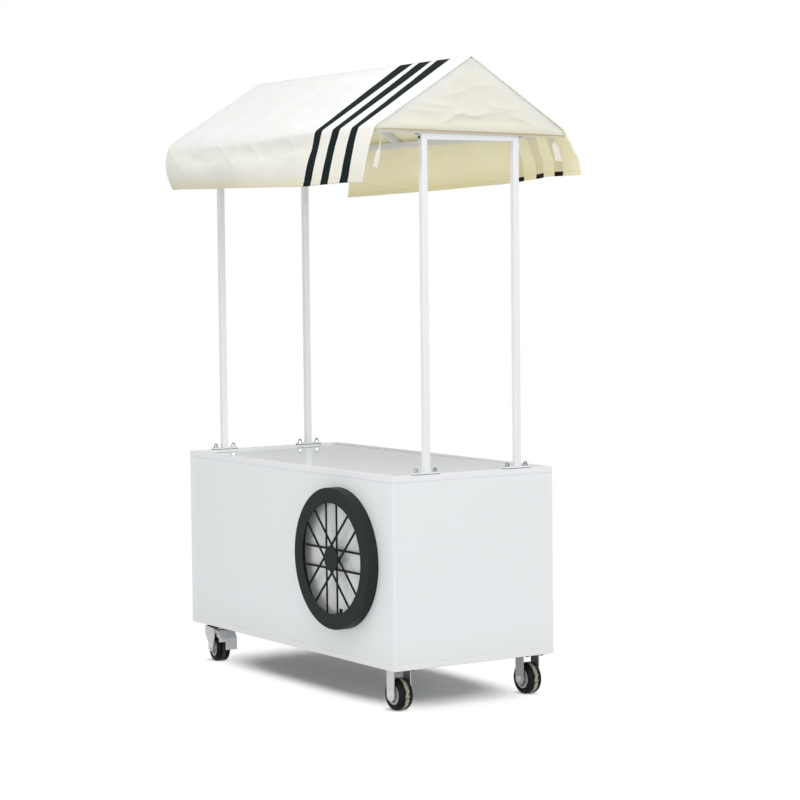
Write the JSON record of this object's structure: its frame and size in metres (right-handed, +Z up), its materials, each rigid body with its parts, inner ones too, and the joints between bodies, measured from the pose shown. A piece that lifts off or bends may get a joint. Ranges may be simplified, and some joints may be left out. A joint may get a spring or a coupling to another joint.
{
  "type": "snack cart",
  "caption": "Wheeled snack cart: sheet-panelled cabinet with rear doors, end posts and a gabled cloth canopy, decorative spoked wheel on the front.",
  "frame": {"origin": "on the floor under the middle of the cart", "axes": "+X to the cart's right end with the rigid casters, -Y to the customers' side with the decorative wheel, +Z up"},
  "size_m": [1.316, 0.808, 2],
  "materials": {
    "white_frame": "satin white powder coat",
    "white_panel": "satin white powder coat on folded sheet",
    "counter_gloss": "gloss white",
    "bright_fixings": "bright plated",
    "zinc_steel": "zinc plated",
    "dark_coat": "dark coated",
    "pad_rubber": "matt",
    "cream_cloth": "woven cream canvas",
    "white_tape": "woven tape",
    "charcoal_wheel": "matt charcoal paint",
    "tread_rubber": "dusty black rubber",
    "hub_plastic": "moulded, light grey",
    "catch_plastic": "dark moulded"
  },
  "bodies": {
    "cart": {"base_frame": "white_frame", "corner_uprights": "white_frame", "top_rim": "white_frame", "corner_gussets": "white_frame", "shelf_rails": "white_frame", "left_post_frame": "white_frame", "right_post_frame": "white_frame", "post_flanges": "white_frame", "roof_rectangle": "white_frame", "ridge_bar": "white_frame", "rafters": "white_frame", "front_panel": "white_panel", "left_panel": "white_panel", "right_panel": "white_panel", "cabinet_floor": "white_panel", "shelf": "white_panel", "countertop": "counter_gloss", "dome_nuts": "bright_fixings", "hinge_frame_leaves": "zinc_steel", "hinge_pins": "zinc_steel", "flange_studs": "zinc_steel", "caster_studs": "zinc_steel", "caster_nuts": "zinc_steel", "kingpins": "zinc_steel", "right_axles": "zinc_steel", "right_forks": "zinc_steel", "swivel_plates": "zinc_steel", "roof_brackets": "zinc_steel", "roof_screws": "dark_coat", "decor_lugs": "dark_coat", "decor_screws": "dark_coat", "flange_pads": "pad_rubber", "canopy_cover": "cream_cloth", "left_gable": "cream_cloth", "right_gable": "cream_cloth", "tie_tapes": "white_tape", "decor_rim": "charcoal_wheel", "decor_spokes": "charcoal_wheel", "decor_hub": "charcoal_wheel", "door_catches": "catch_plastic"},
    "left_door_leaf": {"left_door": "white_panel", "left_door_handle": "bright_fixings", "left_door_hinge_leaves": "zinc_steel"},
    "right_door_leaf": {"right_door": "white_panel", "right_door_handle": "bright_fixings", "right_door_hinge_leaves": "zinc_steel"},
    "right_front_roller": {"right_front_tread": "tread_rubber", "right_front_hub": "hub_plastic"},
    "right_rear_roller": {"right_rear_tread": "tread_rubber", "right_rear_hub": "hub_plastic"},
    "left_front_caster": {"left_front_fork": "zinc_steel", "left_front_fork_pins": "zinc_steel"},
    "left_front_roller": {"left_front_tread": "tread_rubber", "left_front_hub": "hub_plastic"},
    "left_front_pedal": {"left_front_brake_pedal": "zinc_steel"},
    "left_rear_caster": {"left_rear_fork": "zinc_steel", "left_rear_fork_pins": "zinc_steel"},
    "left_rear_roller": {"left_rear_tread": "tread_rubber", "left_rear_hub": "hub_plastic"},
    "left_rear_pedal": {"left_rear_brake_pedal": "zinc_steel"}
  },
  "joints": [
    {"name": "left_door_hinge", "type": "hinge", "parent": "cart", "child": "left_door_leaf", "pos_m": [-0.63, 0.3042, 0.4285], "axis": [0, 0, 1], "range_deg": [0, 120]},
    {"name": "right_door_hinge", "type": "hinge", "parent": "cart", "child": "right_door_leaf", "pos_m": [0.63, 0.3042, 0.4285], "axis": [0, 0, -1], "range_deg": [0, 120]},
    {"name": "right_front_axle", "type": "hinge", "parent": "cart", "child": "right_front_roller", "pos_m": [0.587, -0.243, 0.05], "axis": [0, 1, 0], "continuous": true},
    {"name": "left_front_swivel", "type": "hinge", "parent": "cart", "child": "left_front_caster", "pos_m": [-0.587, -0.243, 0.118], "axis": [0, 0, 1], "continuous": true},
    {"name": "left_front_axle", "type": "hinge", "parent": "left_front_caster", "child": "left_front_roller", "pos_m": [-0.55144, -0.24863, 0.05], "axis": [0.1564, 0.9877, 0], "continuous": true},
    {"name": "left_front_brake", "type": "hinge", "parent": "left_front_caster", "child": "left_front_pedal", "pos_m": [-0.52971, -0.25207, 0.104], "axis": [0.1564, 0.9877, 0], "range_deg": [0, 12]},
    {"name": "right_rear_axle", "type": "hinge", "parent": "cart", "child": "right_rear_roller", "pos_m": [0.587, 0.243, 0.05], "axis": [0, 1, 0], "continuous": true},
    {"name": "left_rear_swivel", "type": "hinge", "parent": "cart", "child": "left_rear_caster", "pos_m": [-0.587, 0.243, 0.118], "axis": [0, 0, 1], "continuous": true},
    {"name": "left_rear_axle", "type": "hinge", "parent": "left_rear_caster", "child": "left_rear_roller", "pos_m": [-0.55207, 0.25171, 0.05], "axis": [-0.2419, 0.9703, 0], "continuous": true},
    {"name": "left_rear_brake", "type": "hinge", "parent": "left_rear_caster", "child": "left_rear_pedal", "pos_m": [-0.53072, 0.25703, 0.104], "axis": [-0.2419, 0.9703, 0], "range_deg": [0, 12]}
  ]
}
